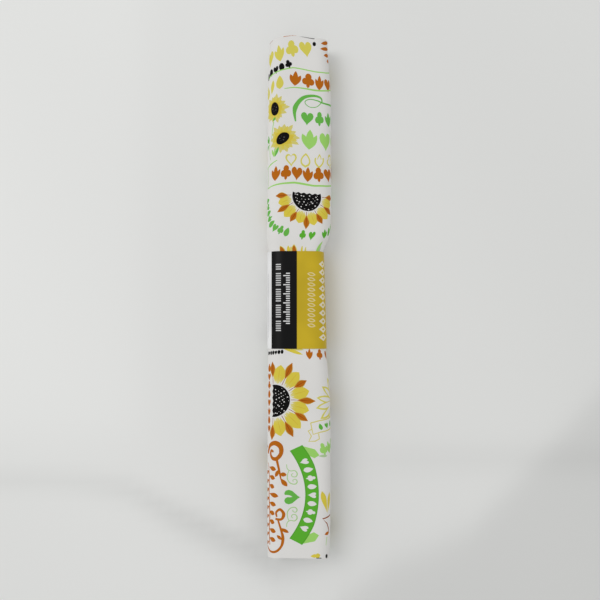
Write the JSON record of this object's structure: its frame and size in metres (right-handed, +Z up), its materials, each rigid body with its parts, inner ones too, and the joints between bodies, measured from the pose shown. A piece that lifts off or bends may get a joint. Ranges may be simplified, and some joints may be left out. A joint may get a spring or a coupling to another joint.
{
  "type": "fat quarter fabric roll",
  "caption": "Printed quilting cotton, cut as a fat quarter, folded in half and wound into a flat roll that a glued paper band holds.",
  "frame": {"origin": "centre of the bounding box at the surface that the roll lies on", "axes": "+Z up; +Y along the roll, towards the end where the cloth is folded; +X to the right of someone who looks down on the roll with +Y away from them"},
  "size_m": [0.0286, 0.2286, 0.017],
  "materials": {
    "printed_cotton": "plain weave, printed on one side",
    "coated_paper": "semi-gloss printed paper",
    "hot_melt_glue": "dried glue"
  },
  "bodies": {
    "roll": {"cotton_cloth": "printed_cotton"},
    "band": {"paper_band": "coated_paper", "band_glue": "hot_melt_glue"}
  },
  "joints": [
    {"name": "band_slide", "type": "slide", "parent": "roll", "child": "band", "axis": [0, 1, 0], "range_m": [-0.0915, 0.0941], "deforming": ["cotton_cloth"]}
  ]
}
